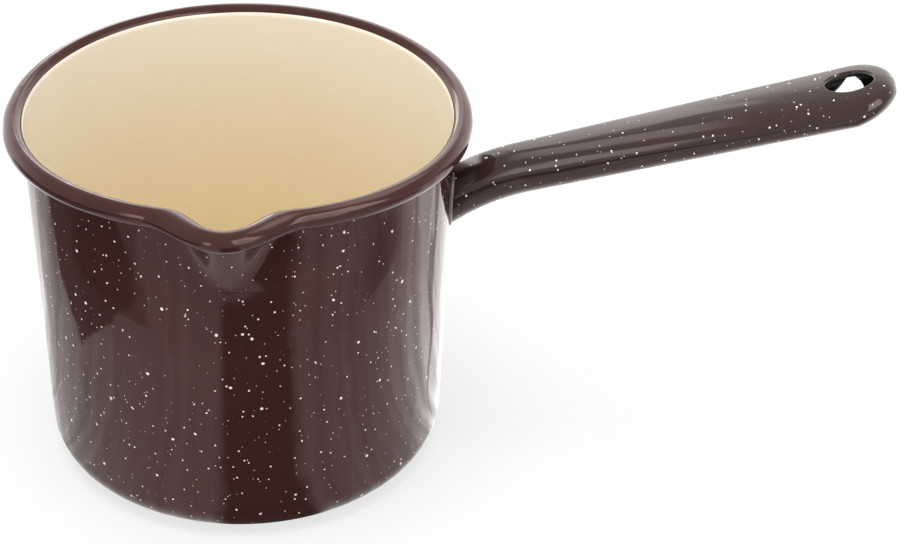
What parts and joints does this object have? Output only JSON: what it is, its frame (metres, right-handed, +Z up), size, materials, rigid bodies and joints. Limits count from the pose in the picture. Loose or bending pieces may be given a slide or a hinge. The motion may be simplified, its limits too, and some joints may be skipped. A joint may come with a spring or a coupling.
{
  "type": "enamel saucepan",
  "caption": "Small enamelled steel saucepan with a pouring lip pressed out of its rolled rim and a long hollow sheet handle that ends in a hanging hole.",
  "frame": {"origin": "middle of the flat base, on the surface that the pan stands on", "axes": "+Z up, +X along the handle away from the pan, -Y towards the pouring lip"},
  "size_m": [0.2497, 0.1349, 0.1201],
  "materials": {
    "drawn_steel": "cold-rolled, bare only inside the roll and under the coats",
    "cream_enamel": "gloss vitreous enamel",
    "speckled_enamel": "gloss vitreous enamel with fine white speckles",
    "plain_enamel": "gloss vitreous enamel, one colour",
    "ground_coat": "dark ground coat inside the hollow handle"
  },
  "bodies": {
    "root": {"steel_body": "drawn_steel", "inner_enamel": "cream_enamel", "outer_enamel": "speckled_enamel", "base_enamel": "plain_enamel", "rim_enamel": "plain_enamel", "handle_steel": "ground_coat", "handle_enamel": "speckled_enamel", "handle_seam_weld": "drawn_steel", "handle_root_weld": "plain_enamel"}
  },
  "joints": []
}
